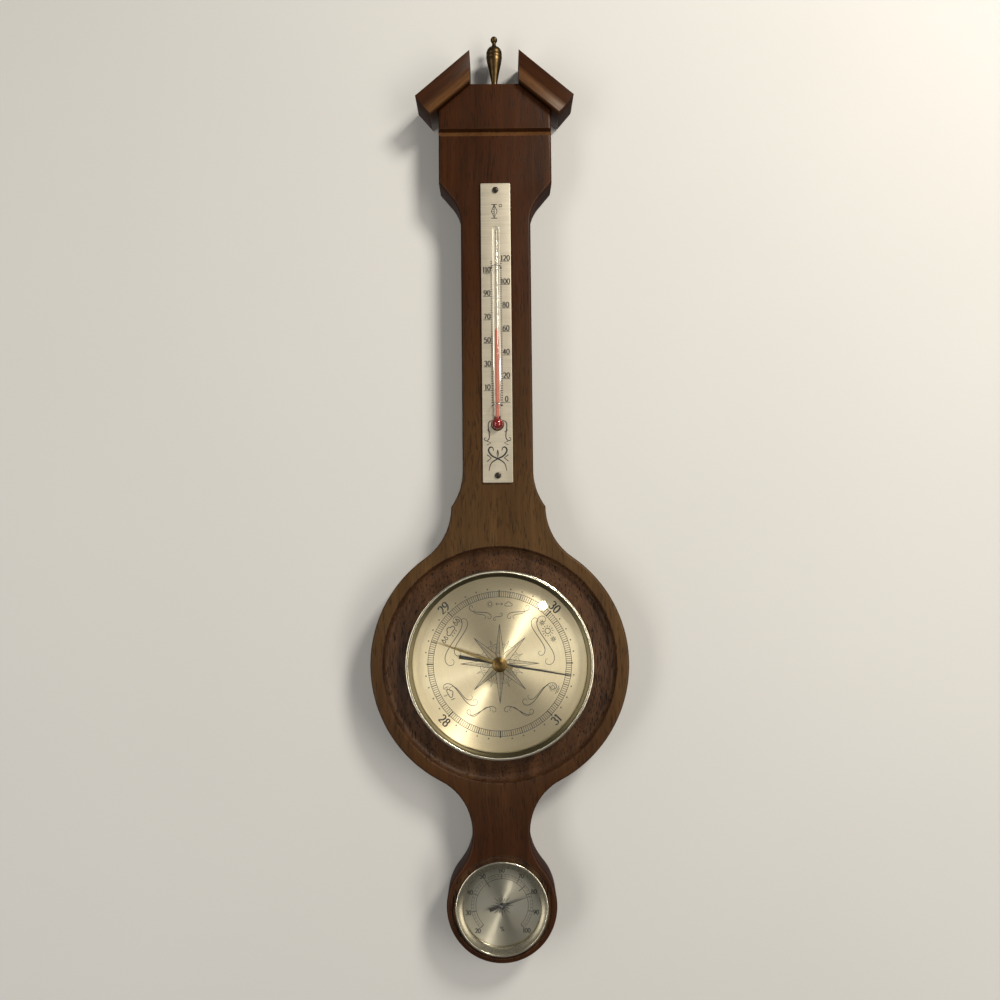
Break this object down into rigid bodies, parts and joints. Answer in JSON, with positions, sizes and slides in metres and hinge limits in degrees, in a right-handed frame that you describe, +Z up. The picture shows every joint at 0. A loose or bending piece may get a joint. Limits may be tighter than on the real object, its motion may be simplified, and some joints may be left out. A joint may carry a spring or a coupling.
{
  "type": "wall weather station",
  "caption": "Banjo shaped wooden wall weather station with a pediment, spirit thermometer, aneroid barometer with set hand and small hygrometer.",
  "frame": {"origin": "on the back of the board, on its centre line just under the keyhole hanger", "axes": "+X to the viewer's right, +Z up, -Y out of the dials towards the viewer; the wall is the plane y = 0"},
  "size_m": [0.1738, 0.0299, 0.6352],
  "materials": {
    "wood": "dark reddish brown satin lacquer, open pored grain",
    "aged_brass": "turned, darkened, satin",
    "pale_brass": "champagne brass, spun or brushed satin",
    "plate_brass": "brushed satin, black printing",
    "dial_brass": "spun satin, black printing",
    "brass": "polished, lacquered",
    "steel": "plain",
    "blackened": "black, satin",
    "glass": "clear",
    "spirit": "deep red dyed spirit",
    "rubber": "matt black",
    "tinplate": "pressed sheet, plain"
  },
  "bodies": {
    "body": {"backboard": "wood", "pediment_moulding_left": "wood", "pediment_moulding_right": "wood", "finial": "aged_brass", "thermometer_plate": "plate_brass", "thermometer_tube": "glass", "thermometer_spirit": "spirit", "tube_clip_upper": "brass", "tube_clip_lower": "brass", "plate_screw_upper": "blackened", "plate_screw_lower": "blackened", "barometer_case": "tinplate", "barometer_grip_ring": "rubber", "barometer_bezel": "pale_brass", "barometer_spacer_ring": "pale_brass", "barometer_dial": "dial_brass", "barometer_glass": "glass", "glass_bush": "brass", "movement_baseplate": "brass", "gear_plate": "brass", "bridge_plate": "brass", "pillar_1": "brass", "pillar_2": "brass", "pillar_3": "brass", "gear_spacer_1": "brass", "gear_spacer_2": "brass", "gear_spacer_3": "brass", "aneroid_capsule": "steel", "spring_bracket": "brass", "rocker_bearing_left": "brass", "rocker_bearing_right": "brass", "hairspring": "steel", "hairspring_stud": "brass", "movement_screw_1": "steel", "movement_screw_2": "steel", "movement_screw_3": "steel", "hygrometer_case": "tinplate", "hygrometer_grip_ring": "rubber", "hygrometer_bezel": "pale_brass", "hygrometer_spacer_ring": "pale_brass", "hygrometer_dial": "dial_brass", "hygrometer_glass": "glass", "humidity_coil": "brass", "hygrometer_strap": "brass", "keyhole_plate": "steel", "hanger_screw_1": "steel", "hanger_screw_2": "steel"},
    "set_hand": {"set_hand": "brass", "set_knob": "brass"},
    "sector": {"sector_gear": "brass", "sector_arbor": "steel"},
    "pressure_hand": {"pressure_hand": "blackened", "hand_arbor": "steel"},
    "rocker": {"rocker_shaft": "steel"},
    "mainspring": {"mainspring": "steel", "capsule_post": "steel", "main_lever": "brass"},
    "hygrometer_hand": {"hygrometer_hand": "blackened", "hygrometer_arbor": "steel"},
    "adjusting_screw": {"adjusting_screw": "steel"}
  },
  "joints": [
    {"name": "set_hand_turn", "type": "hinge", "parent": "body", "child": "set_hand", "pos_m": [0, -0.0244, -0.325], "axis": [0, -1, 0], "continuous": true},
    {"name": "sector_pivot", "type": "hinge", "parent": "body", "child": "sector", "pos_m": [0.013, -0.0144, -0.34752], "axis": [0, -1, 0], "range_deg": [-19.58, 2.92]},
    {"name": "pressure_hand_turn", "type": "hinge", "parent": "body", "child": "pressure_hand", "pos_m": [0, -0.0144, -0.325], "axis": [0, -1, 0], "range_deg": [-35.1, 235.1]},
    {"name": "rocker_turn", "type": "hinge", "parent": "body", "child": "rocker", "pos_m": [0.0176, -0.0082, -0.34907], "axis": [-1, 0, 0], "range_deg": [-19.6, 2.95]},
    {"name": "mainspring_flex", "type": "hinge", "parent": "body", "child": "mainspring", "pos_m": [-0.028, -0.00845, -0.325], "axis": [0, 0, 1], "range_deg": [-1.2, 0.18]},
    {"name": "hygrometer_hand_turn", "type": "hinge", "parent": "body", "child": "hygrometer_hand", "pos_m": [0, -0.014, -0.484], "axis": [0, -1, 0], "range_deg": [-64.2, 205.8]},
    {"name": "adjusting_screw_turn", "type": "hinge", "parent": "body", "child": "adjusting_screw", "pos_m": [-0.03, -0.0022, -0.325], "axis": [0, -1, 0], "range_deg": [-180, 180]}
  ],
  "couplings": [
    {"joint": "pressure_hand_turn", "follows": "sector_pivot", "ratio": -12},
    {"joint": "rocker_turn", "follows": "sector_pivot", "ratio": 1},
    {"joint": "mainspring_flex", "follows": "sector_pivot", "ratio": 0.061}
  ]
}
